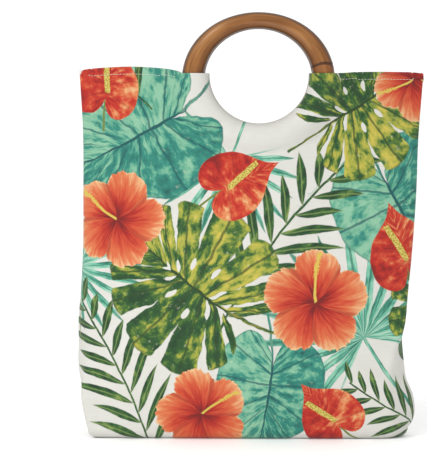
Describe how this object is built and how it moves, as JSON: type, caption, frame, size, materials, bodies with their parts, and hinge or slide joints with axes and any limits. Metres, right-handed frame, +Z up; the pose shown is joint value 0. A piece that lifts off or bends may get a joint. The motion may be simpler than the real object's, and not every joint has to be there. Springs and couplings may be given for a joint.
{
  "type": "handbag with cane ring handles",
  "caption": "Soft boxed canvas handbag with a round hand hole in each face and an oval cane ring handle held in a casing along it.",
  "frame": {"origin": "under the middle of the bag, in the plane that it stands on", "axes": "+Z up towards the handles, -Y out of the front face, +X to the right as seen from the front"},
  "size_m": [0.3982, 0.0814, 0.4887],
  "materials": {
    "printed_canvas": "matte plain-weave cotton canvas, off-white ground with a leaf print in greens, teal, mustard and red",
    "plain_canvas": "matte plain-weave cotton canvas, off-white",
    "cane": "satin lacquered cane, warm brown with lengthwise streaks"
  },
  "bodies": {
    "root": {"front_panel": "printed_canvas", "back_panel": "printed_canvas", "base_panel": "printed_canvas", "front_handle_facing": "plain_canvas", "back_handle_facing": "plain_canvas", "front_ring_handle": "cane", "back_ring_handle": "cane"}
  },
  "joints": []
}
